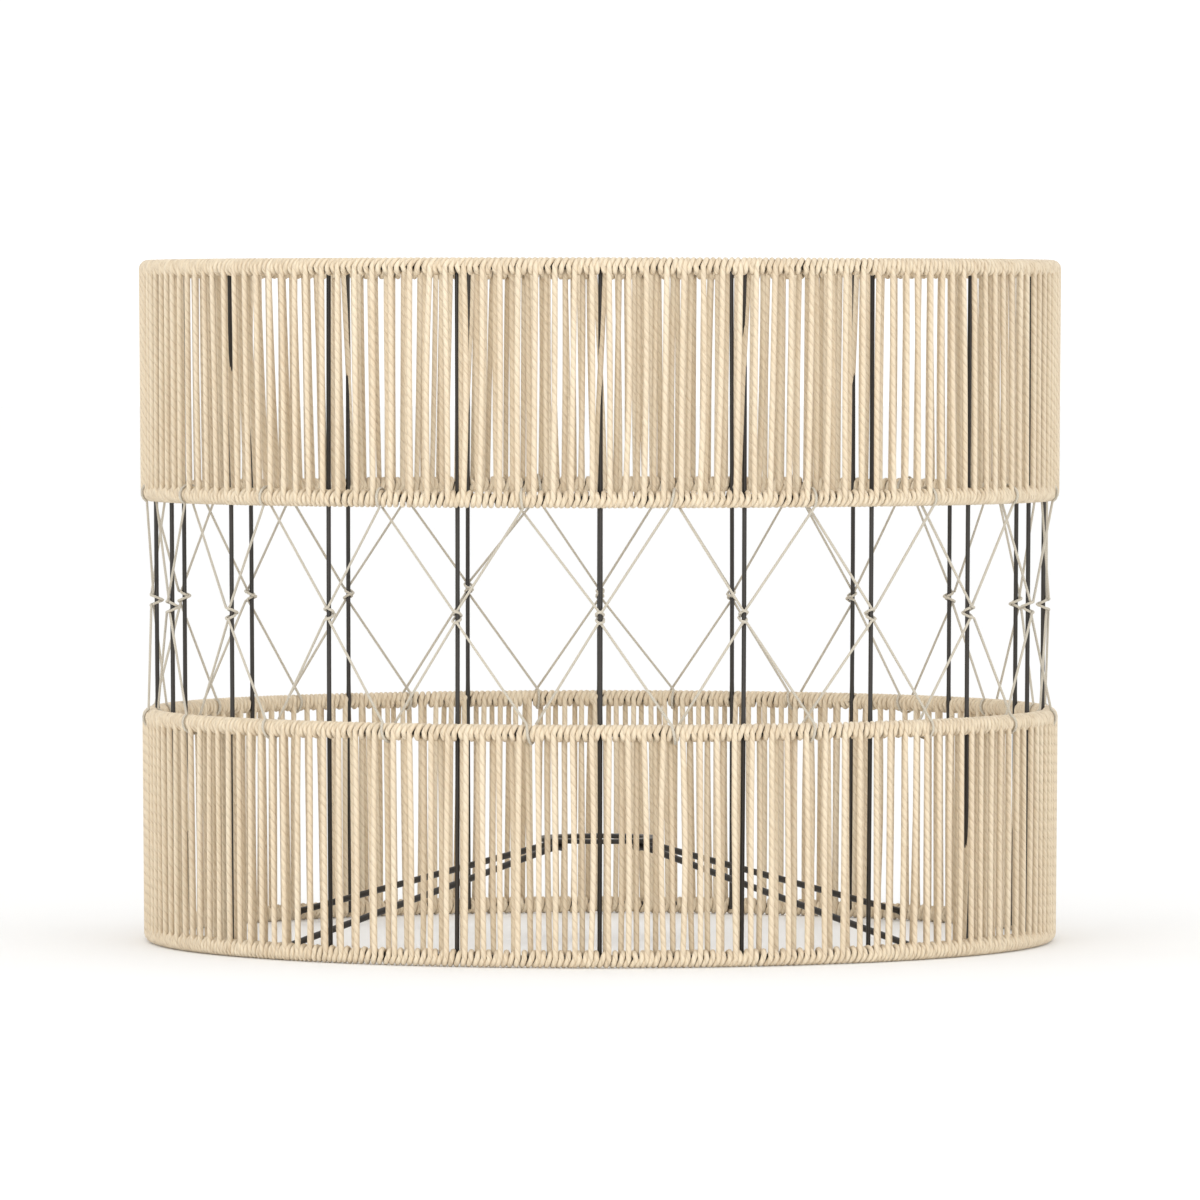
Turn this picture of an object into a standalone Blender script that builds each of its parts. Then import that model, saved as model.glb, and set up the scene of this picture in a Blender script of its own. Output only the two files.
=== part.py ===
# Drum lampshade: a welded wire frame whose rings are bound with paper cord, wound up and
# down with two bands of strands, and laced across the open window between the bands.
# Metres, +Z up. The shade stands on its bottom edge at z = 0, with its axis on the Z axis
# and one rib at the front, towards -Y.

import math

import bmesh
import bpy
from mathutils import Matrix, Vector

# Drum, measured over the wound cord
TOP_DIAMETER = 0.420
BOTTOM_DIAMETER = 0.416
UPPER_BAND_HEIGHT = 0.1095
WINDOW_HEIGHT = 0.0940
LOWER_BAND_HEIGHT = 0.1065

# Wire frame
RING_WIRE = 0.0030
RIB_WIRE = 0.0020
RIB_COUNT = 20
FRONT_ANGLE = math.radians(-90)

# Spider that carries the shade on a lamp holder
ARM_WIRE = 0.0030
ARM_COUNT = 4
FIRST_ARM_ANGLE = math.radians(45)
ARM_FOOTHOLD = 0.0060
HUB_DIAMETER = 0.0580
HUB_BORE = 0.0420
HUB_THICKNESS = 0.0020
HUB_CHAMFER = 0.0004
HUB_UNDERSIDE = 0.0450

# Cord
BAND_CORD = 0.0025
LACE_CORD = 0.0014
LACE_BEND_RADIUS = 0.0030

# Gap between pieces that touch
CLEARANCE = 0.0003

# Fineness of the faceted round shapes
SEGMENTS = math.lcm(2 * RIB_COUNT, 2 * ARM_COUNT)
WIRE_SIDES = 8
BEAD_SIDES = 8
LACE_BEND_STEPS = 4
LACE_BEVEL_RESOLUTION = 1
SHARP_ANGLE = math.radians(50)

# Binding cord is wound tight round each ring's wire, which makes a bead along each edge
BEAD_RADIUS = RING_WIRE / 2 + BAND_CORD
BEAD_HOLLOW = RING_WIRE / 2 + CLEARANCE

BOTTOM_RING_Z = BEAD_RADIUS
LOWER_WINDOW_RING_Z = LOWER_BAND_HEIGHT - BEAD_RADIUS
UPPER_WINDOW_RING_Z = LOWER_BAND_HEIGHT + WINDOW_HEIGHT + BEAD_RADIUS
TOP_RING_Z = LOWER_BAND_HEIGHT + WINDOW_HEIGHT + UPPER_BAND_HEIGHT - BEAD_RADIUS
TOP_RING_RADIUS = TOP_DIAMETER / 2 - BEAD_RADIUS
BOTTOM_RING_RADIUS = BOTTOM_DIAMETER / 2 - BEAD_RADIUS

# The wall leans out by the same angle from the bottom ring to the top ring
WALL_LEAN = math.atan2(TOP_RING_RADIUS - BOTTOM_RING_RADIUS, TOP_RING_Z - BOTTOM_RING_Z)

# The ribs stand on the inner side of the rings
RIB_INSET = RING_WIRE / 2 + CLEARANCE + RIB_WIRE / 2
RIB_STEP = 2 * math.pi / RIB_COUNT
RIB_ANGLES = [FRONT_ANGLE + index * RIB_STEP for index in range(RIB_COUNT)]
ARM_STEP = 2 * math.pi / ARM_COUNT
ARM_ANGLES = [FIRST_ARM_ANGLE + index * ARM_STEP for index in range(ARM_COUNT)]

BLACK = (0.012, 0.011, 0.010)
PAPER = (0.680, 0.520, 0.340)
PALE_PAPER = (0.760, 0.690, 0.560)


def wall_radius(height):
    """Radius of the frame's wall, at the centre of the ring wires, at one height."""
    share = (height - BOTTOM_RING_Z) / (TOP_RING_Z - BOTTOM_RING_Z)
    return BOTTOM_RING_RADIUS + share * (TOP_RING_RADIUS - BOTTOM_RING_RADIUS)


def polar(radius, angle, height):
    return Vector((radius * math.cos(angle), radius * math.sin(angle), height))


def clear_scene():
    for thing in list(bpy.data.objects):
        bpy.data.objects.remove(thing, do_unlink=True)


def make_material(name, colour, roughness, metallic=0.0):
    material = bpy.data.materials.new(name)
    material.use_nodes = True
    shader = material.node_tree.nodes["Principled BSDF"]
    shader.inputs["Base Color"].default_value = (*colour, 1.0)
    shader.inputs["Roughness"].default_value = roughness
    shader.inputs["Metallic"].default_value = metallic
    return material


def add_object(name, data, material=None, parent=None):
    piece = bpy.data.objects.new(name, data)
    bpy.context.scene.collection.objects.link(piece)
    if material is not None and not data.materials:
        data.materials.append(material)
    piece.parent = parent
    return piece


def mesh_from(bm, name):
    """Turns a bmesh into a mesh that shades round, with creases at its real edges."""
    bmesh.ops.recalc_face_normals(bm, faces=bm.faces[:])
    mesh = bpy.data.meshes.new(name)
    bm.to_mesh(mesh)
    bm.free()
    mesh.shade_smooth()
    mesh.set_sharp_from_angle(angle=SHARP_ANGLE)
    return mesh


def revolved(name, outline):
    """A closed outline of (radius, height) points, turned once round the Z axis."""
    bm = bmesh.new()
    verts = [bm.verts.new((radius, 0.0, height)) for radius, height in outline]
    edges = [bm.edges.new((verts[i - 1], verts[i])) for i in range(len(verts))]
    bmesh.ops.spin(
        bm,
        geom=verts + edges,
        cent=(0.0, 0.0, 0.0),
        axis=(0.0, 0.0, 1.0),
        angle=2 * math.pi,
        steps=SEGMENTS,
        use_merge=True,
    )
    return mesh_from(bm, name)


def circle_outline(centre_radius, centre_height, radius, sides):
    turn = 2 * math.pi / sides
    return [
        (
            centre_radius + radius * math.cos(side * turn),
            centre_height + radius * math.sin(side * turn),
        )
        for side in range(sides)
    ]


def make_ring(name, height, material, parent):
    outline = circle_outline(wall_radius(height), height, RING_WIRE / 2, WIRE_SIDES)
    return add_object(name, revolved(name, outline), material, parent)


def make_ribs(material, parent):
    """Straight wires that lean with the wall, from the level of the bottom ring to the top ring."""
    low = BOTTOM_RING_Z - RING_WIRE / 2
    high = TOP_RING_Z + RING_WIRE / 2
    middle = (low + high) / 2
    bm = bmesh.new()
    bmesh.ops.create_cone(
        bm,
        cap_ends=True,
        segments=WIRE_SIDES,
        radius1=RIB_WIRE / 2,
        radius2=RIB_WIRE / 2,
        depth=(high - low) / math.cos(WALL_LEAN),
    )
    mesh = mesh_from(bm, "rib")
    for index, angle in enumerate(RIB_ANGLES):
        rib = add_object(f"rib_{index + 1:02d}", mesh, material, parent)
        rib.location = polar(wall_radius(middle) - RIB_INSET, angle, middle)
        rib.rotation_euler = (0.0, WALL_LEAN, angle)


def arm_route():
    """Where an arm's centre line runs, as (radius, height): flat under the hub, then out to the ring."""
    flat_height = HUB_UNDERSIDE - CLEARANCE - ARM_WIRE / 2
    hub_radius = HUB_DIAMETER / 2
    ring_side = BOTTOM_RING_RADIUS - RING_WIRE / 2 - CLEARANCE
    return [
        (hub_radius - ARM_FOOTHOLD, flat_height),
        (hub_radius, flat_height),
        (ring_side, BOTTOM_RING_Z),
    ]


def wire_curve(name, points, diameter, resolution, closed=False):
    curve = bpy.data.curves.new(name, "CURVE")
    curve.dimensions = "3D"
    curve.bevel_depth = diameter / 2
    curve.bevel_resolution = resolution
    curve.use_fill_caps = not closed
    spline = curve.splines.new("POLY")
    spline.points.add(len(points) - 1)
    for point, place in zip(spline.points, points):
        point.co = (*place, 1.0)
    spline.use_cyclic_u = closed
    return curve


def make_arms(material, parent):
    points = [(radius, 0.0, height) for radius, height in arm_route()]
    curve = wire_curve("spider_arm", points, ARM_WIRE, WIRE_SIDES // 2 - 2)
    for index, angle in enumerate(ARM_ANGLES):
        arm = add_object(f"spider_arm_{index + 1}", curve, material, parent)
        arm.rotation_euler = (0.0, 0.0, angle)


def make_hub(material, parent):
    """A flat washer whose bore goes over the lamp holder; its two faces are what gets clamped."""
    inner = HUB_BORE / 2
    outer = HUB_DIAMETER / 2
    low = HUB_UNDERSIDE
    high = HUB_UNDERSIDE + HUB_THICKNESS
    outline = [
        (inner, low),
        (outer - HUB_CHAMFER, low),
        (outer, low + HUB_CHAMFER),
        (outer, high - HUB_CHAMFER),
        (outer - HUB_CHAMFER, high),
        (inner, high),
    ]
    return add_object("spider_hub", revolved("spider_hub", outline), material, parent)


def add_slot(bm, angle, low, high, width, depth):
    """A block that opens a cord solid's inner side for a wire, as deep as one distance from the wall."""
    reach = BEAD_RADIUS * 2
    middle = (low + high) / 2
    place = (
        Matrix.Rotation(angle, 4, "Z")
        @ Matrix.Translation((wall_radius(middle) - (reach + depth) / 2, 0.0, middle))
        @ Matrix.Rotation(WALL_LEAN, 4, "Y")
        @ Matrix.Diagonal((reach - depth, width, high - low, 1.0))
    )
    bmesh.ops.create_cube(bm, size=1.0, matrix=place)


def cut(piece, mesh, parent):
    """Takes the mesh's shape out of the piece."""
    cutter = add_object(mesh.name, mesh, parent=parent)
    cutter.hide_render = True
    cutter.display_type = "WIRE"
    boolean = piece.modifiers.new(mesh.name, "BOOLEAN")
    boolean.operation = "DIFFERENCE"
    boolean.solver = "EXACT"
    boolean.object = cutter


def rib_slots(bm, low, high, depth):
    for angle in RIB_ANGLES:
        add_slot(bm, angle, low, high, RIB_WIRE + 2 * CLEARANCE, depth)


def make_binding(name, height, material, parent, arm_slots=False):
    """Cord wound round and round a ring's wire: a hollow bead, open inside wherever a wire is welded on."""
    outline = circle_outline(wall_radius(height), height, BEAD_RADIUS, BEAD_SIDES)
    binding = add_object(name, revolved(name, outline), material, parent)

    hollow = circle_outline(wall_radius(height), height, BEAD_HOLLOW, BEAD_SIDES)
    cut(binding, revolved(f"{name}_hollow", hollow), parent)

    low = height - 2 * BEAD_RADIUS
    high = height + 2 * BEAD_RADIUS
    depth = BEAD_HOLLOW / 2
    slots = bmesh.new()
    rib_slots(slots, low, high, depth)
    if arm_slots:
        for angle in ARM_ANGLES:
            add_slot(slots, angle, low, high, ARM_WIRE + 2 * CLEARANCE, depth)
    cut(binding, mesh_from(slots, f"{name}_slots"), parent)
    return binding


def make_band(name, low_ring, high_ring, material, parent):
    """The wall that the wound strands fill between two bound rings, grooved on its inside for the ribs."""
    low = low_ring + BEAD_RADIUS + CLEARANCE
    high = high_ring - BEAD_RADIUS - CLEARANCE
    outline = [
        (wall_radius(low) - BEAD_RADIUS, low),
        (wall_radius(low) + BEAD_RADIUS, low),
        (wall_radius(high) + BEAD_RADIUS, high),
        (wall_radius(high) - BEAD_RADIUS, high),
    ]
    band = add_object(name, revolved(name, outline), material, parent)

    grooves = bmesh.new()
    depth = RIB_INSET - RIB_WIRE / 2 - CLEARANCE
    rib_slots(grooves, low_ring, high_ring, depth)
    cut(band, mesh_from(grooves, f"{name}_grooves"), parent)
    return band


def lace_crossing(side):
    """Where a lace passes a rib: outside it (side 1) or inside it (side -1), half way up the window."""
    height = (LOWER_WINDOW_RING_Z + UPPER_WINDOW_RING_Z) / 2
    offset = RIB_WIRE / 2 + CLEARANCE + LACE_CORD / 2
    return wall_radius(height) - RIB_INSET + side * offset, height


def lace_bend(angle, upper):
    """A small round turn against the bead at the top or the bottom of the window."""
    direction = 1 if upper else -1
    ring_height = UPPER_WINDOW_RING_Z if upper else LOWER_WINDOW_RING_Z
    tip = ring_height - direction * (BEAD_RADIUS + CLEARANCE + LACE_CORD / 2)
    radius = wall_radius(ring_height)
    run = radius * RIB_STEP / 2
    rise = abs(tip - lace_crossing(1)[1])
    sweep = math.atan2(rise, run)
    points = []
    for step in range(LACE_BEND_STEPS + 1):
        turn = sweep * (2 * step / LACE_BEND_STEPS - 1)
        along = LACE_BEND_RADIUS * math.sin(turn)
        drop = LACE_BEND_RADIUS * (1 - math.cos(turn))
        points.append(polar(radius, angle + along / radius, tip - direction * drop))
    return points


def make_lace(name, side, first_bay, material, parent):
    """One thin cord that zigzags round the window: up in one bay, down in the next, over each rib."""
    crossing_radius, crossing_height = lace_crossing(side)
    points = []
    for index, angle in enumerate(RIB_ANGLES):
        points.append(polar(crossing_radius, angle, crossing_height))
        upper = (index + first_bay) % 2 == 0
        points.extend(lace_bend(angle + RIB_STEP / 2, upper))
    curve = wire_curve(name, points, LACE_CORD, LACE_BEVEL_RESOLUTION, closed=True)
    return add_object(name, curve, material, parent)


def make_shade():
    steel = make_material("black_coated_steel", BLACK, 0.45)
    paper = make_material("paper_cord", PAPER, 0.85)
    pale_paper = make_material("lacing_cord", PALE_PAPER, 0.80)

    shade = add_object("shade", None)
    make_ring("bottom_ring", BOTTOM_RING_Z, steel, shade)
    make_ring("lower_window_ring", LOWER_WINDOW_RING_Z, steel, shade)
    make_ring("upper_window_ring", UPPER_WINDOW_RING_Z, steel, shade)
    make_ring("top_ring", TOP_RING_Z, steel, shade)
    make_ribs(steel, shade)
    make_arms(steel, shade)
    make_hub(steel, shade)

    make_binding("bottom_ring_binding", BOTTOM_RING_Z, paper, shade, arm_slots=True)
    make_binding("lower_window_binding", LOWER_WINDOW_RING_Z, paper, shade)
    make_binding("upper_window_binding", UPPER_WINDOW_RING_Z, paper, shade)
    make_binding("top_ring_binding", TOP_RING_Z, paper, shade)
    make_band("lower_band_cord", BOTTOM_RING_Z, LOWER_WINDOW_RING_Z, paper, shade)
    make_band("upper_band_cord", UPPER_WINDOW_RING_Z, TOP_RING_Z, paper, shade)

    make_lace("window_lace_outer", 1, 0, pale_paper, shade)
    make_lace("window_lace_inner", -1, 1, pale_paper, shade)


clear_scene()
make_shade()
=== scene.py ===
import math
import random

import bmesh
import bpy
from mathutils import Matrix, Vector


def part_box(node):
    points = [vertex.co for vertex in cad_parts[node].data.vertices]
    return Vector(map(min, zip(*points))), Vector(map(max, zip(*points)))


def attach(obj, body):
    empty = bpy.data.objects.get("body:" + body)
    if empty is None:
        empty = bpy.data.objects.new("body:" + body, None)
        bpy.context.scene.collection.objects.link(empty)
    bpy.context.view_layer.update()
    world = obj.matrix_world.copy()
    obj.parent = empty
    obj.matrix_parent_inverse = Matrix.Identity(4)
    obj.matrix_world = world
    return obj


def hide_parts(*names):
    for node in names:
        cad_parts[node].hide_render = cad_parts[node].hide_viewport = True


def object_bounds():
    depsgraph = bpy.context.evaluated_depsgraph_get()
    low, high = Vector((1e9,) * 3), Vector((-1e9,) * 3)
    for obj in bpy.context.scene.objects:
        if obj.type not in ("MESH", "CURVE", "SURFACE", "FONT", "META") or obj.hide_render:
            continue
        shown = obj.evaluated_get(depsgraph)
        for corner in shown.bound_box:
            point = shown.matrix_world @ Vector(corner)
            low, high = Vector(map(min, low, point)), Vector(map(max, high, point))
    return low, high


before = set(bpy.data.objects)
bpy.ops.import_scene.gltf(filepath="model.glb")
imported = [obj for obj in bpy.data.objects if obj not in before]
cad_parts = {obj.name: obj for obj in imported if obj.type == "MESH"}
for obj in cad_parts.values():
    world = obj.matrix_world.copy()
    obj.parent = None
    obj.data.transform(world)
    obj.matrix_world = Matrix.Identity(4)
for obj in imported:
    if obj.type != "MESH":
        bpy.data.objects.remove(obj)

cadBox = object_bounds()

# A drum shade: a black wire frame, two bands wound in paper cord, bound rings, and a
# window between the bands that is laced with thin thread.
# Angles are measured round the shade from the front rib, to the right as it is seen from the front.

fullTurn = 2 * math.pi
frontAngle = -math.pi / 2
ribNodes = sorted(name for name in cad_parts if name.startswith("rib_"))
armNodes = sorted(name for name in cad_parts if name.startswith("spider_arm_"))
bays = len(ribNodes)
bayAngle = fullTurn / bays
armAngles = [(index + 0.5) * fullTurn / len(armNodes) for index in range(len(armNodes))]


def ringOf(node):
    # centre line and thickness of a ring, read from its box
    low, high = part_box(node)
    wire = (high.z - low.z) / 2
    radius = (high.x - low.x) / 2 - wire
    return {"node": node, "radius": radius, "z": (low.z + high.z) / 2, "wire": wire}


topRing = ringOf("top_ring")
upperRing = ringOf("upper_window_ring")
lowerRing = ringOf("lower_window_ring")
bottomRing = ringOf("bottom_ring")
rings = (topRing, upperRing, lowerRing, bottomRing)

cord = {
    "bead": ringOf("top_ring_binding")["wire"],   # from the middle of a ring to the outside of its cord
    "wrapsPerBay": 8,                             # how often the winding goes round between two ribs
    "turnsPerWrap": 3,                            # turns on a ring for each of those, its own with them
}
cord["radius"] = (cord["bead"] - topRing["wire"]) / 2
cord["coil"] = topRing["wire"] + cord["radius"]   # from the middle of a ring to the middle of its cord
wraps = bays * cord["wrapsPerBay"]
wrapAngle = fullTurn / wraps
slotAngle = wrapAngle / cord["turnsPerWrap"]      # a slot is the room for one turn on a ring
backStart = wraps // 2                            # windings and bindings join up at the back rib


def wallRadius(z):
    # the drum is a little wider at the top
    share = (z - bottomRing["z"]) / (topRing["z"] - bottomRing["z"])
    return bottomRing["radius"] + share * (topRing["radius"] - bottomRing["radius"])


def at(angle, radius, z):
    # a point at an angle from the front rib
    turned = frontAngle + angle
    return Vector((radius * math.cos(turned), radius * math.sin(turned), z))


def onRing(ring, angle, swing, coil):
    # a point on a coil round a ring: swing 0 is outside, a quarter turn is above, half a turn is inside
    return at(angle, ring["radius"] + coil * math.cos(swing), ring["z"] + coil * math.sin(swing))


class Output:
    # one output of a node; arithmetic on it adds Math nodes
    def __init__(self, finish, socket):
        self.finish = finish
        self.socket = socket

    def __add__(self, other):
        return self.finish.maths("ADD", self, other)

    def __sub__(self, other):
        return self.finish.maths("SUBTRACT", self, other)

    def __rsub__(self, other):
        return self.finish.maths("SUBTRACT", other, self)

    def __mul__(self, other):
        return self.finish.maths("MULTIPLY", self, other)

    __radd__ = __add__
    __rmul__ = __mul__


class Finish:
    # a material and the few steps that build its nodes
    def __init__(self, name, **constants):
        self.material = bpy.data.materials.new(name)
        self.material.use_nodes = True
        self.nodes = self.material.node_tree.nodes
        self.links = self.material.node_tree.links
        self.surface = self.nodes["Principled BSDF"]
        for socket, value in constants.items():
            self.surface.inputs[socket.replace("_", " ")].default_value = value

    def feed(self, socket, value):
        if isinstance(value, Output):
            self.links.new(value.socket, socket)
        else:
            socket.default_value = value

    def node(self, kind, settings=None, inputs=None, output=0):
        made = self.nodes.new("ShaderNode" + kind)
        for key, value in (settings or {}).items():
            if key == "stops":
                self.setStops(made.color_ramp, value)
            else:
                setattr(made, key, value)
        for key, value in (inputs or {}).items():
            self.feed(made.inputs[key], value)
        return Output(self, made.outputs[output])

    def setStops(self, ramp, stops):
        while len(ramp.elements) < len(stops):
            ramp.elements.new(0.5)
        for element, (place, colour) in zip(ramp.elements, stops):
            element.position = place
            element.color = (*colour, 1)

    def maths(self, operation, *values):
        return self.node("Math", {"operation": operation}, dict(enumerate(values)))

    def mix(self, share, first, second):
        first, second = (tone if isinstance(tone, Output) else (*tone, 1) for tone in (first, second))
        return self.node("Mix", {"data_type": "RGBA"}, {0: share, 6: first, 7: second}, output=2)

    def noise(self, vector, scale, detail=2.0, roughness=0.5):
        sockets = {"Vector": vector, "Scale": scale, "Detail": detail, "Roughness": roughness}
        return self.node("TexNoise", {}, sockets)

    def ramp(self, value, *stops):
        return self.node("ValToRGB", {"stops": stops}, {"Fac": value})

    def spread(self, value, low, high, toLow=0.0, toHigh=1.0):
        # stretches the range low to high onto toLow to toHigh
        return self.node("MapRange", {}, {0: value, 1: low, 2: high, 3: toLow, 4: toHigh})

    def bump(self, height, strength, distance):
        return self.node("Bump", {}, {"Height": height, "Strength": strength, "Distance": distance})

    def connect(self, **sockets):
        for name, value in sockets.items():
            self.feed(self.surface.inputs[name.replace("_", " ")], value)
        return self.material


def twistedCoordinates(finish, look):
    # metres along the cord, the angle round it as it twists, and a vector that turns with the twist
    uv = finish.node("UVMap", {"uv_map": "UVMap"})
    along, around = (finish.node("SeparateXYZ", {}, {0: uv}, output=index) for index in (0, 1))
    angle = (around + along * (1 / look["twist"])) * fullTurn
    side = finish.maths("COSINE", angle) * look["across"]
    front = finish.maths("SINE", angle) * look["across"]
    vector = finish.node("CombineXYZ", {}, {0: side, 1: front, 2: along * look["streak"]})
    return along, angle, vector


paperLook = {
    "twist": 0.0085,      # length of one full twist of the paper, metres
    "folds": 2,           # creases round the cord
    "across": 2.2,        # how fast the fibres change round the cord
    "streak": 70,         # and along it
    "patch": 9,           # how fast the tone changes along the cord
    "tones": ((0.33, (0.580, 0.450, 0.295)), (0.50, (0.665, 0.540, 0.375)), (0.67, (0.735, 0.625, 0.460))),
    "fibre": (0.79, 0.69, 0.53),
    # painted shade: a darker colour laid into the creases between the folds, where shade falls
    "creaseShade": (0.38, 0.26, 0.15),
    "creaseShadeShare": 0.4,
    "roughness": (0.68, 0.90),
    "relief": 0.0004,     # height of folds and fibres, metres
}


def paperCord(look):
    finish = Finish("paperCord", Sheen_Weight=0.15, Sheen_Roughness=0.6, Specular_IOR_Level=0.3)
    along, angle, vector = twistedCoordinates(finish, look)
    fibres = finish.noise(vector, 1.6, detail=4, roughness=0.65)
    folds = finish.maths("ABSOLUTE", finish.maths("SINE", angle * (look["folds"] / 2) + fibres * 1.6))
    # painted shade mask: the creases of the twisted paper, darkened in the base colour below
    paintedCreaseShade = 1 - finish.spread(folds, 0.0, 0.35)
    patches = finish.noise(finish.node("CombineXYZ", {}, {0: along}), look["patch"], roughness=0.6)
    tone = finish.ramp(patches, *look["tones"])
    streaked = finish.mix(finish.spread(fibres, 0.35, 0.75), tone, look["fibre"])
    return finish.connect(
        Base_Color=finish.mix(paintedCreaseShade * look["creaseShadeShare"], streaked, look["creaseShade"]),
        Roughness=finish.spread(fibres, 0.2, 0.8, *look["roughness"]),
        Normal=finish.bump(folds * 0.7 + fibres * 0.5, 0.8, look["relief"]),
    )


threadLook = {
    "twist": 0.0042,      # length of one full twist of the plies, metres
    "plies": 3,
    "across": 2.2,
    "streak": 240,
    "dark": (0.47, 0.42, 0.34),
    "light": (0.60, 0.56, 0.47),
    # painted shade: a darker colour laid into the grooves between the plies, where shade falls
    "grooveShade": (0.32, 0.27, 0.19),
    "grooveShadeShare": 0.5,
    "roughness": (0.75, 0.92),
    "relief": 0.0002,
}


def laceThread(look):
    finish = Finish("laceThread", Sheen_Weight=0.3, Sheen_Roughness=0.5, Specular_IOR_Level=0.25)
    along, angle, vector = twistedCoordinates(finish, look)
    fibres = finish.noise(vector, 1.8, detail=3, roughness=0.6)
    plies = finish.maths("ABSOLUTE", finish.maths("SINE", angle * (look["plies"] / 2)))
    # painted shade mask: the grooves between the plies, darkened in the base colour below
    paintedGrooveShade = 1 - finish.spread(plies, 0.0, 0.45)
    tone = finish.mix(finish.spread(fibres, 0.3, 0.7), look["dark"], look["light"])
    return finish.connect(
        Base_Color=finish.mix(paintedGrooveShade * look["grooveShadeShare"], tone, look["grooveShade"]),
        Roughness=finish.spread(fibres, 0.2, 0.8, *look["roughness"]),
        Normal=finish.bump(plies * 0.8 + fibres * 0.3, 0.7, look["relief"]),
    )


steelLook = {
    "peel": 1800,         # how fine the skin of the paint is
    "cloud": 60,          # how fast its tone and gloss change
    "speck": 420,         # how fine the dust is
    "dark": (0.012, 0.009, 0.006),
    "light": (0.022, 0.017, 0.012),
    "dust": (0.060, 0.052, 0.042),
    "dustShare": 0.5,
    "roughness": (0.36, 0.52),
    "relief": 0.00008,
}


def blackSteel(look):
    finish = Finish("blackSteel", Metallic=0.0, Specular_IOR_Level=0.45)
    place = finish.node("TexCoord", output="Object")
    peel = finish.noise(place, look["peel"])
    cloud = finish.noise(place, look["cloud"], detail=3, roughness=0.6)
    dust = finish.spread(finish.noise(place, look["speck"], detail=4, roughness=0.7), 0.60, 0.78)
    tone = finish.mix(finish.spread(cloud, 0.3, 0.7), look["dark"], look["light"])
    return finish.connect(
        Base_Color=finish.mix(dust * look["dustShare"], tone, look["dust"]),
        Roughness=finish.spread(cloud, 0.25, 0.75, *look["roughness"]) + dust * 0.15,
        Normal=finish.bump(peel, 0.25, look["relief"]),
    )


floorLook = {
    "grain": 6,
    "pores": 300,
    "dark": (0.90, 0.90, 0.895),
    "light": (0.93, 0.93, 0.925),
    "roughness": (0.75, 0.90),
    "relief": 0.001,
}


def paleFloor(look):
    finish = Finish("paleFloor", Specular_IOR_Level=0.2)
    place = finish.node("TexCoord", output="Object")
    grain = finish.noise(place, look["grain"], detail=4, roughness=0.6)
    return finish.connect(
        Base_Color=finish.mix(grain, look["dark"], look["light"]),
        Roughness=finish.spread(grain, 0.2, 0.8, *look["roughness"]),
        Normal=finish.bump(finish.noise(place, look["pores"]), 0.05, look["relief"]),
    )


print("finishes")
paper = paperCord(paperLook)
thread = laceThread(threadLook)
steel = blackSteel(steelLook)


def addPiece(name, mesh, material, slot, *nodes):
    # a mesh becomes a piece, in place of its CAD nodes
    piece = bpy.data.objects.new(name, mesh)
    bpy.context.scene.collection.objects.link(piece)
    mesh.materials.append(material)
    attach(piece, "root")
    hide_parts(*nodes)


tube = {
    "merge": 1e-6,        # points nearer than this are one, metres
    "sharp": 62,          # an edge over this many degrees stays crisp
}


def tubeMesh(name, points, radius, sides, swell=None, endless=False):
    # a round tube along a line of points; its UV map holds metres along and turns round
    curve = bpy.data.curves.new(name, "CURVE")
    curve.dimensions = "3D"
    curve.bevel_depth = radius
    curve.bevel_resolution = sides // 2 - 2
    curve.use_fill_caps = True
    line = curve.splines.new("POLY")
    line.points.add(len(points) - 1)
    for index, point in enumerate(points):
        line.points[index].co = (*point, 1)
        line.points[index].radius = swell[index] if swell else 1
    line.use_cyclic_u = endless
    carrier = bpy.data.objects.new(name, curve)
    bpy.context.scene.collection.objects.link(carrier)
    graph = bpy.context.evaluated_depsgraph_get()
    mesh = bpy.data.meshes.new_from_object(carrier.evaluated_get(graph))
    bpy.data.objects.remove(carrier)
    bpy.data.curves.remove(curve)

    # the map has equal steps from point to point along the tube, so each place on it becomes its length
    run = [0.0]
    for before, after in zip(points, points[1:] + points[:1] * endless):
        run.append(run[-1] + (after - before).length)
    uvs = mesh.uv_layers["UVMap"].uv
    flat = [0.0] * (2 * len(uvs))
    uvs.foreach_get("vector", flat)
    for index in range(0, len(flat), 2):
        place = flat[index] * (len(run) - 1)
        whole = min(int(place), len(run) - 2)
        flat[index] = run[whole] + (place - whole) * (run[whole + 1] - run[whole])
    uvs.foreach_set("vector", flat)

    form = bmesh.new()
    form.from_mesh(mesh)
    bmesh.ops.remove_doubles(form, verts=form.verts, dist=tube["merge"])
    form.to_mesh(mesh)
    form.free()
    mesh.shade_smooth()
    mesh.set_sharp_from_angle(angle=math.radians(tube["sharp"]))
    return mesh


ringWire = {"sides": 12, "steps": 160}


def makeRing(ring):
    form = bmesh.new()
    section = bmesh.ops.create_circle(
        form,
        segments=ringWire["sides"],
        radius=ring["wire"],
        matrix=Matrix.Translation((ring["radius"], 0, ring["z"])) @ Matrix.Rotation(math.pi / 2, 4, "X"),
    )
    bmesh.ops.spin(
        form,
        geom=section["verts"] + form.edges[:],
        axis=(0, 0, 1),
        cent=(0, 0, 0),
        angle=fullTurn,
        steps=ringWire["steps"],
        use_merge=True,
    )
    bmesh.ops.recalc_face_normals(form, faces=form.faces)
    mesh = bpy.data.meshes.new(ring["node"])
    form.to_mesh(mesh)
    form.free()
    mesh.shade_smooth()
    return mesh


rib = {
    "spots": 46,          # points along a rib
    "bow": 0.0008,        # how far a rib may lean or bow to one side
    "weldReach": 0.0035,  # height of the weld on either side of a ring
    "weldSwell": 0.15,    # how much thicker the weld is
    "sides": 12,
    "seed": 5,
}


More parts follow.
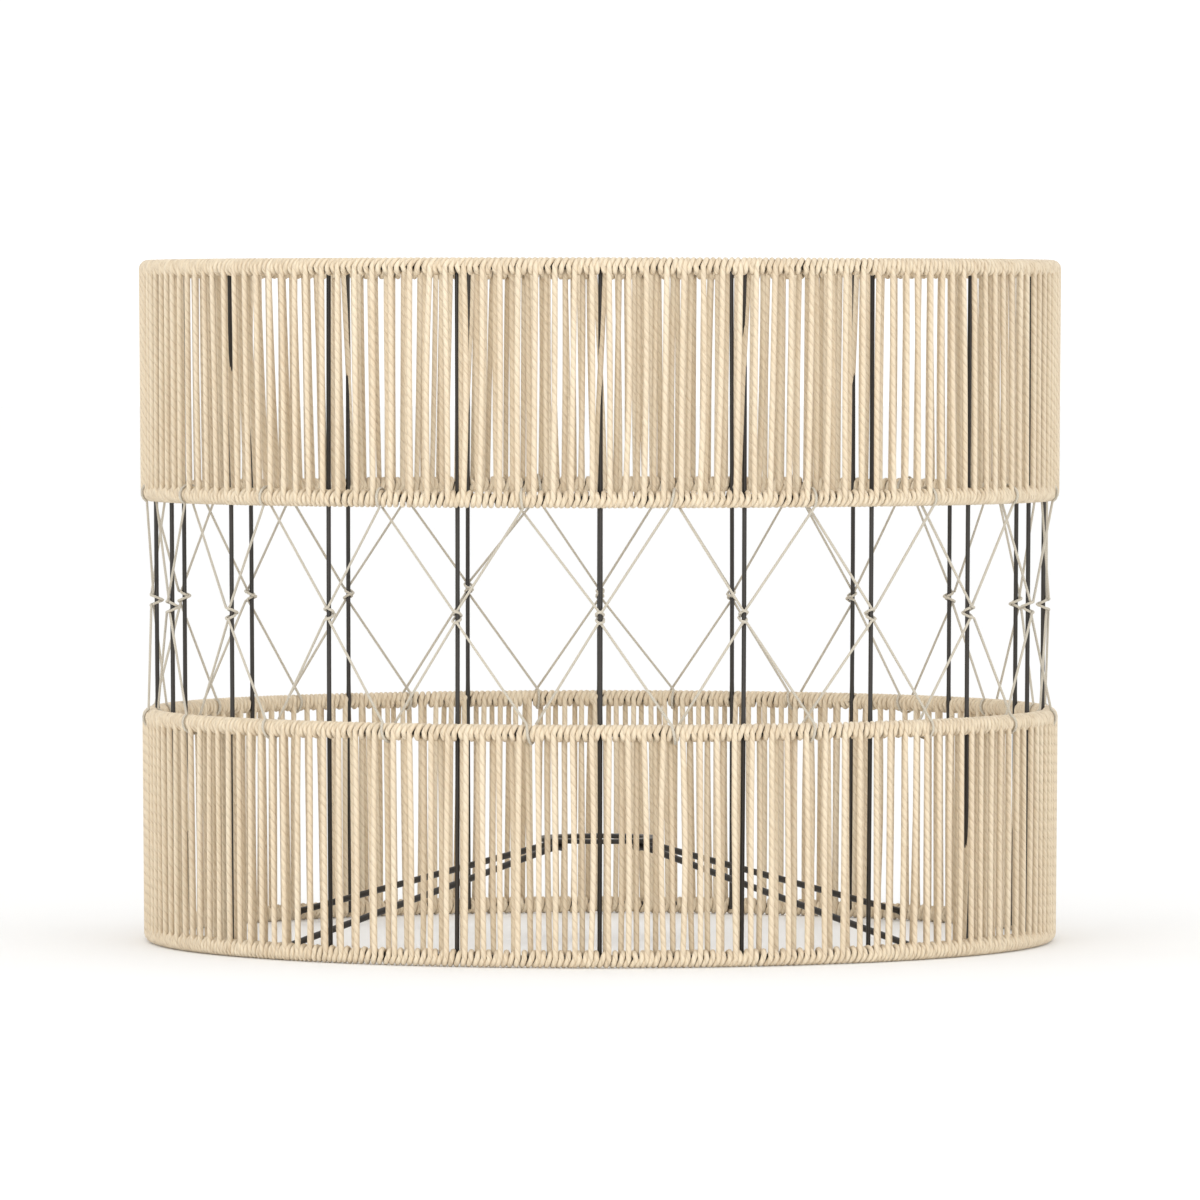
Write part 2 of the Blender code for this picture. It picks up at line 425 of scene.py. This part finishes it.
def makeRib(index, node, chance):
    low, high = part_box(ribNodes[0])
    wire = (high.x - low.x) / 2
    inset = wallRadius(high.z) - (-low.y - wire)
    bow, lean = chance.uniform(-rib["bow"], rib["bow"]), chance.uniform(-rib["bow"], rib["bow"])
    points, swell = [], []
    for spot in range(rib["spots"]):
        share = spot / (rib["spots"] - 1)
        z = low.z + share * (high.z - low.z)
        aside = bow * math.sin(share * math.pi) + lean * (share - 0.5)
        points.append(at(index * bayAngle + aside / wallRadius(z), wallRadius(z) - inset, z))
        near = min(abs(z - ring["z"]) for ring in rings)
        swell.append(1 + rib["weldSwell"] * max(0, 1 - (near / rib["weldReach"]) ** 2))
    return tubeMesh(node, points, wire, rib["sides"], swell)


hub = {
    "steps": 96,          # steps round the washer
    "rim": 0.0005,        # how much its edges are rounded
    "rimSteps": 3,
    "square": 1.0,        # an edge with a steeper turn than this, in radians, is a rim
    "sharp": 40,          # an edge over this many degrees stays crisp
}


def hubSizes():
    # outer and inner radius, underside and top
    low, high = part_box("spider_hub")
    outer = (high.x - low.x) / 2
    inner = min(math.hypot(v.co.x, v.co.y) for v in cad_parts["spider_hub"].data.vertices)
    return outer, inner, low.z, high.z


def makeHub():
    outer, inner, under, top = hubSizes()
    form = bmesh.new()
    section = ((inner, under), (outer, under), (outer, top), (inner, top))
    corners = [form.verts.new((radius, 0, z)) for radius, z in section]
    edges = [form.edges.new((corners[index - 1], corners[index])) for index in (1, 2, 3, 0)]
    bmesh.ops.spin(
        form,
        geom=corners + edges,
        axis=(0, 0, 1),
        cent=(0, 0, 0),
        angle=fullTurn,
        steps=hub["steps"],
        use_merge=True,
    )
    bmesh.ops.recalc_face_normals(form, faces=form.faces)
    bmesh.ops.bevel(
        form,
        geom=[edge for edge in form.edges if edge.calc_face_angle(0) > hub["square"]],
        offset=hub["rim"],
        segments=hub["rimSteps"],
        profile=0.5,
        material=-1,
        affect="EDGES",
    )
    mesh = bpy.data.meshes.new("spiderHub")
    form.to_mesh(mesh)
    form.free()
    mesh.shade_smooth()
    mesh.set_sharp_from_angle(angle=math.radians(hub["sharp"]))
    return mesh


arm = {
    "foothold": 0.006,    # how far an arm lies under the hub
    "gap": 0.0003,        # between the arm and the hub, filled by the weld
    "footInset": 0.0018,  # the foot stops this far inside the middle of the bottom ring
    "bend": 0.007,        # length of the bend beside the hub
    "weld": 0.004,        # how far the weld reaches from an end
    "weldSwell": 0.45,    # how much thicker the weld is
    "sides": 14,
    "spots": 44,          # points along an arm
}


def armRoute():
    # distance from the axis and height, from the hub down to the bottom ring
    knee, _, under, _ = hubSizes()
    start = knee - arm["foothold"]
    level = under - arm["gap"] - topRing["wire"]
    foot = bottomRing["radius"] - arm["footInset"]
    slope = (bottomRing["z"] - level) / (foot - knee)
    points = []
    for spot in range(arm["spots"]):
        radius = start + (foot - start) * spot / (arm["spots"] - 1)
        past = radius - knee
        # a parabola takes the line from level to sloping over the bend
        if past < -arm["bend"] / 2:
            drop = 0
        elif past < arm["bend"] / 2:
            drop = slope * (past + arm["bend"] / 2) ** 2 / (2 * arm["bend"])
        else:
            drop = slope * past
        points.append((radius, level + drop))
    return points


def makeArm(angle, node):
    points, swell = [], []
    route = armRoute()
    for radius, z in route:
        points.append(at(angle, radius, z))
        end = min(radius - route[0][0], route[-1][0] - radius)
        swell.append(1 + arm["weldSwell"] * max(0, 1 - end / arm["weld"]) ** 2)
    return tubeMesh(node, points, topRing["wire"], arm["sides"], swell)


print("wire frame")
for ring in rings:
    name = ring["node"].title().replace("_", "") + "Wire"
    addPiece(name, makeRing(ring), steel, "frame_steel", ring["node"])
ribChance = random.Random(rib["seed"])
for index, node in enumerate(ribNodes):
    addPiece("ribWire" + node[-2:], makeRib(index, node, ribChance), steel, "frame_steel", node)
for index, node in enumerate(armNodes):
    low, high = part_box(node)
    middle = (low + high) / 2
    angle = math.atan2(middle.y, middle.x) - frontAngle
    addPiece("spiderArmWire" + node[-1], makeArm(angle, node), steel, "frame_steel", node)
addPiece("spiderHubWasher", makeHub(), steel, "frame_steel", "spider_hub")


postGap = {
    "rib": 0.00235,       # from the middle of a rib to the middle of a cord beside it
    "arm": 0.00285,       # the same beside an arm
    "reach": 0.0120,      # how far along a ring the turns move up to make that room
    "rounds": 6,          # rounds of nearing the place that ends up at a post
}
ribPosts = [(index * bayAngle, postGap["rib"]) for index in range(bays)]
armPosts = [(angle, postGap["arm"]) for angle in armAngles]

# how far an inner strand stands to the right of the outer strand it belongs to, in millimetres,
# in the middle of each bay, from the front rib round to the right
strandLean = {
    "top_ring": (
        *(4.4, 5.4, 5.5, 4.5, 4.0, 3.5, 3.0, 2.8, 2.6, 3.3),
        *(5.0, 5.4, 5.5, 4.5, 4.0, 4.5, 3.5, 2.7, 5.0, 4.0),
    ),
    "upper_window_ring": (
        *(3.8, 6.0, 3.6, 4.2, 4.5, 3.8, 3.2, 3.6, 2.2, 3.2),
        *(4.8, 6.4, 3.0, 4.2, 4.4, 4.0, 5.0, 6.2, 5.2, 4.4),
    ),
    "lower_window_ring": (
        *(4.6, 4.8, 5.4, 4.5, 4.0, 3.6, 3.0, 2.8, 2.4, 3.4),
        *(5.2, 5.6, 5.5, 4.4, 4.2, 4.0, 3.4, 2.7, 3.6, 3.6),
    ),
    "bottom_ring": (
        *(4.6, 5.2, 5.2, 4.0, 4.4, 4.0, 3.2, 3.0, 2.6, 3.2),
        *(4.8, 5.2, 5.2, 4.2, 3.8, 4.4, 3.6, 2.9, 3.8, 4.2),
    ),
}

# how far whole turns stand to the right of their even places, in millimetres, at each rib
turnShift = {
    "top_ring": (
        *(0.3, 0.2, 3.3, -1.2, 0.0, 0.8, -1.0, 1.2, 0.5, -0.8),
        *(0.6, -1.2, 1.0, -0.5, 0.7, -0.6, 0.5, -0.8, -3.3, 1.5),
    ),
    "upper_window_ring": (
        *(-0.3, -1.6, 3.3, 0.8, 0.5, -0.6, 0.4, -1.0, 1.0, 0.5),
        *(-0.7, 0.8, -0.6, 0.9, -0.4, 0.6, -0.3, 1.2, -3.0, 1.0),
    ),
    "lower_window_ring": (
        *(0.0, -1.5, 3.3, -1.2, 0.4, 0.5, -0.8, 0.6, -0.5, 0.8),
        *(0.3, -0.8, 0.9, -0.6, 0.5, 0.8, -0.4, 1.2, -3.3, 1.6),
    ),
    "bottom_ring": (
        *(0.4, -1.2, 3.1, -1.0, 0.0, -0.5, 0.7, -0.9, 0.6, -0.4),
        *(0.8, 0.4, -0.9, 0.6, -0.5, 0.3, 0.5, 1.0, -3.1, 1.2),
    ),
}

# the uneven rest, on the outer and the inner side of each ring
drift = {
    "waves": ((19, 0.00030), (37, 0.00040), (59, 0.00030), (83, 0.00020)),   # times round, and how far
    "seed": 61,
}
driftChance = random.Random(drift["seed"])
for ring in rings:
    for side in ("outerDrift", "innerDrift"):
        ring[side] = [(count, size, driftChance.uniform(0, fullTurn)) for count, size in drift["waves"]]


def blended(values, place):
    # a smooth line through a value at every whole place, from millimetres to metres
    before = math.floor(place)
    share = (1 - math.cos((place - before) * math.pi)) / 2
    return 0.001 * (values[before % bays] * (1 - share) + values[(before + 1) % bays] * share)


def driftAt(waves, angle):
    # metres to the right
    return sum(size * math.sin(count * angle + start) for count, size, start in waves)


def outerPlace(ring, angle):
    # where a turn with this even place stands on the outer side of a ring
    moved = blended(turnShift[ring["node"]], angle / bayAngle) + driftAt(ring["outerDrift"], angle)
    return angle + moved / ring["radius"]


def innerPlace(ring, angle):
    # and on its inner side, where the strands lean
    moved = blended(turnShift[ring["node"]], angle / bayAngle) + driftAt(ring["innerDrift"], angle)
    return angle + (moved + blended(strandLean[ring["node"]], angle / bayAngle - 0.5)) / ring["radius"]


def standPosts(ring, posts):
    # for each post, how far the turns near it move round the ring so that it stands midway between two
    ring["posts"] = []
    for post, gap in posts:
        even = post
        for _ in range(postGap["rounds"]):
            even -= innerPlace(ring, even) - post
        ring["posts"].append((post, gap, even - round(even / slotAngle) * slotAngle))


def besidePosts(ring, angle):
    # moves a turn on the inner side of a ring away from the rib or arm that stands there
    half = slotAngle * ring["radius"] / 2
    for post, gap, spare in ring["posts"]:
        off = (angle - post + math.pi) % fullTurn - math.pi
        fade = 1 - abs(off) * ring["radius"] / postGap["reach"]
        if fade > 0:
            push = fade * (gap - half) / (1 - half / postGap["reach"])
            centred = off + spare * fade
            return angle - off + centred + math.copysign(push / ring["radius"], centred)
    return angle


for ring in rings:
    standPosts(ring, ribPosts + armPosts if ring is bottomRing else ribPosts)


def turnAngle(outer, inner, pushed, share):
    # on the way over a ring, from the outer side, share 0, to the inner, share 1; it moves aside for
    # a post only near the inner side
    return outer + share * (inner - outer) + share**3 * (pushed - inner)


winding = {
    "turnSteps": 7,       # steps over half a ring
    "strandSteps": 7,     # steps from ring to ring
    "scatter": 0.00025,   # how far a turn may stand from its place
    "bow": 0.00045,       # how far it may bow to one side on its way
    "stray": 0.0011,      # the same for the few that wander
    "strayShare": 0.06,   # how many those are
    "sides": 10,
}


def makeWinding(name, above, below, seed):
    # one endless cord: up outside, over the ring above, down inside, and under the ring below
    chance = random.Random(seed)
    coil = cord["coil"]

    def strand(points, start, end, fromRing, toRing, reach):
        bow = chance.uniform(-winding["bow"], winding["bow"])
        if chance.random() < winding["strayShare"]:
            bow = chance.choice((-1, 1)) * winding["stray"]
        for step in range(1, winding["strandSteps"]):
            share = step / winding["strandSteps"]
            z = fromRing["z"] + share * (toRing["z"] - fromRing["z"])
            angle = start + share * (end - start) + bow * math.sin(share * math.pi) / wallRadius(z)
            points.append(at(angle, wallRadius(z) + reach, z))

    def overRing(points, ring, outer, inner, pushed, inwards):
        for step in range(winding["turnSteps"] + 1):
            share = step / winding["turnSteps"]
            angle = turnAngle(outer, inner, pushed, share if inwards else 1 - share)
            points.append(onRing(ring, angle, (share if inwards else share + 1) * math.pi, coil))

    def scattered(ring, angle):
        aside = chance.uniform(-winding["scatter"], winding["scatter"])
        return outerPlace(ring, angle) + aside / ring["radius"]

    points = []
    bottom = first = scattered(below, (backStart + 0.5) * wrapAngle)
    for wrap in range(backStart, backStart + wraps):
        middle = (wrap + 0.5) * wrapAngle
        top = scattered(above, middle)
        inner = innerPlace(above, middle)
        pushed = besidePosts(above, inner)
        strand(points, bottom, top, below, above, coil)
        overRing(points, above, top, inner, pushed, True)
        inner = innerPlace(below, middle)
        bottomPushed = besidePosts(below, inner)
        strand(points, pushed, bottomPushed, above, below, -coil)
        bottom = scattered(below, middle + wrapAngle) if wrap < backStart + wraps - 1 else first + fullTurn
        overRing(points, below, bottom, inner, bottomPushed, False)
    return tubeMesh(name, points, cord["radius"], winding["sides"], endless=True)


binding = {
    "halfSteps": 6,       # steps over half a turn
    "scatter": 0.00012,   # how far a turn may stand from its place
    "sides": 8,
}


def makeBinding(name, ring, bandAbove, seed):
    # turns fill the ring between the winding's own, and lean as those do on the side where they are
    chance = random.Random(seed)
    slots = wraps * cord["turnsPerWrap"]
    own = cord["turnsPerWrap"] // 2
    first = backStart * cord["turnsPerWrap"]
    places = [slot for slot in range(first, first + slots) if slot % cord["turnsPerWrap"] != own]
    evens = [
        (slot + 0.5) * slotAngle + chance.uniform(-binding["scatter"], binding["scatter"]) / ring["radius"]
        for slot in places
    ]
    points = []
    for even, evenNext in zip(evens, evens[1:] + [evens[0] + fullTurn]):
        outer, following = outerPlace(ring, even), outerPlace(ring, evenNext)
        inner = innerPlace(ring, evenNext - wrapAngle if bandAbove else even)
        pushed = besidePosts(ring, inner)
        for step in range(2 * binding["halfSteps"]):
            share = step / binding["halfSteps"]
            if share < 1:
                angle = turnAngle(outer, inner, pushed, share)
            else:
                angle = turnAngle(following, inner, pushed, 2 - share)
            points.append(onRing(ring, angle, share * math.pi, cord["coil"]))
    return tubeMesh(name, points, cord["radius"], binding["sides"], endless=True)


print("windings")
bands = (
    ("upperBandCord", "upper_band_cord", topRing, upperRing, 11),
    ("lowerBandCord", "lower_band_cord", lowerRing, bottomRing, 23),
)
for name, node, above, below, seed in bands:
    addPiece(name, makeWinding(name, above, below, seed), paper, "paper_cord", node)

print("bindings")
bindings = (
    ("topRingBinding", "top_ring_binding", topRing, False, 31),
    ("upperWindowBinding", "upper_window_binding", upperRing, True, 32),
    ("lowerWindowBinding", "lower_window_binding", lowerRing, False, 33),
    ("bottomRingBinding", "bottom_ring_binding", bottomRing, True, 34),
)
for name, node, ring, bandAbove, seed in bindings:
    addPiece(name, makeBinding(name, ring, bandAbove, seed), paper, "paper_cord", node)


lace = {
    "radius": 0.0006,
    "ribRadius": 0.001,   # of the rib that a knot turns round
    "legAside": 0.0012,   # from the middle of a bay to the leg that comes up outside
    "loopSteps": 12,
    "loopStart": 60,      # degrees below the outside of the ring where the loop starts
    "knotSteps": 24,
    "knotHalf": 0.0027,   # half the height of the turn round a rib
    "knotFrom": -20,      # degrees round the rib where the turn starts, from its outer side
    "knotTo": 380,
    "ribInset": 0.0028,   # how far the middle of a rib is inside the middle of the wall
    "wander": 0.0020,     # how far a knot may be from mid-height
    "seed": 47,
    "sides": 8,
}


def makeLace(name, startsUp, lift, knotHeights):
    # one thread all the way round: over a bound ring in each bay, and a turn round each rib
    points = []
    loop = cord["bead"] + lace["radius"]
    tight = lace["ribRadius"] + lace["radius"]
    fromSwing = math.radians(-lace["loopStart"])
    for bay in range(bays):
        up = (bay % 2 == 0) == startsUp
        ring = upperRing if up else lowerRing
        middle = (bay + 0.5) * bayAngle
        start = outerPlace(ring, middle) - lace["legAside"] / ring["radius"]
        end = innerPlace(ring, middle)
        end -= round((end - middle) / wrapAngle) * wrapAngle
        side = 1 if up else -1
        for step in range(lace["loopSteps"] + 1):
            share = step / lace["loopSteps"]
            swing = fromSwing + share * (math.pi - 2 * fromSwing)
            points.append(onRing(ring, start + share * (end - start), side * swing, loop))
        knot = knotHeights[(bay + 1) % bays]
        post = (bay + 1) * bayAngle
        for step in range(lace["knotSteps"] + 1):
            share = step / lace["knotSteps"]
            turn = math.radians(lace["knotFrom"] + share * (lace["knotTo"] - lace["knotFrom"]))
            z = knot + side * lace["knotHalf"] * (1 - 2 * share)
            away = tight + lift * math.cos(turn) ** 2
            radius = wallRadius(z) - lace["ribInset"] + away * math.cos(turn)
            points.append(at(post + away * math.sin(turn) / radius, radius, z))
    return tubeMesh(name, points, lace["radius"], lace["sides"], endless=True)


print("lacing")
laceChance = random.Random(lace["seed"])
knotMiddle = (upperRing["z"] + lowerRing["z"]) / 2
knotHeights = [knotMiddle + laceChance.uniform(-lace["wander"], lace["wander"]) for _ in range(bays)]
laces = (
    ("windowLaceInner", "window_lace_inner", False, 0),
    ("windowLaceOuter", "window_lace_outer", True, 2 * lace["radius"]),
)
for name, node, startsUp, lift in laces:
    addPiece(name, makeLace(name, startsUp, lift, knotHeights), thread, "lacing_cord", node)


studio = {
    "floor": 60.0,        # width of the floor, metres
    "floorSides": 64,
    "world": 1.1,         # strength of the light from all round
    "lights": {
        "keyLight": {"place": (-1.3, -3.0, 0.6), "size": 1.6, "power": 26},
        "fillLight": {"place": (1.6, -2.8, 0.5), "size": 1.6, "power": 22},
    },
    "camera": (0.0, -4.5, 0.280),
    "lens": 296,
}


def aimed(name, data, place, aim):
    # a light or a camera at its place, turned towards what it is for
    holder = bpy.data.objects.new(name, data)
    holder.location = place
    holder.rotation_euler = (aim - Vector(place)).to_track_quat("-Z", "Y").to_euler()
    bpy.context.scene.collection.objects.link(holder)
    return holder


def makeFloor():
    form = bmesh.new()
    bmesh.ops.create_circle(form, segments=studio["floorSides"], radius=studio["floor"] / 2, cap_ends=True)
    mesh = bpy.data.meshes.new("floor")
    form.to_mesh(mesh)
    form.free()
    mesh.materials.append(paleFloor(floorLook))
    floor = bpy.data.objects.new("floor", mesh)
    bpy.context.scene.collection.objects.link(floor)


def makeLights(aim):
    world = bpy.data.worlds.new("studioWorld")
    world.use_nodes = True
    background = world.node_tree.nodes["Background"]
    background.inputs["Color"].default_value = (1, 1, 1, 1)
    background.inputs["Strength"].default_value = studio["world"]
    bpy.context.scene.world = world
    for name, lamp in studio["lights"].items():
        light = bpy.data.lights.new(name, "AREA")
        light.shape = "DISK"
        light.size = lamp["size"]
        light.energy = lamp["power"]
        aimed(name, light, lamp["place"], aim)


def makeCamera(aim):
    camera = bpy.data.cameras.new("camera")
    camera.lens = studio["lens"]
    scene = bpy.context.scene
    scene.camera = aimed("camera", camera, studio["camera"], aim)
    scene.view_settings.view_transform = "Standard"


print("studio")
shadeMiddle = (Vector(cadBox[0]) + Vector(cadBox[1])) / 2
makeFloor()
makeLights(shadeMiddle)
makeCamera(shadeMiddle)
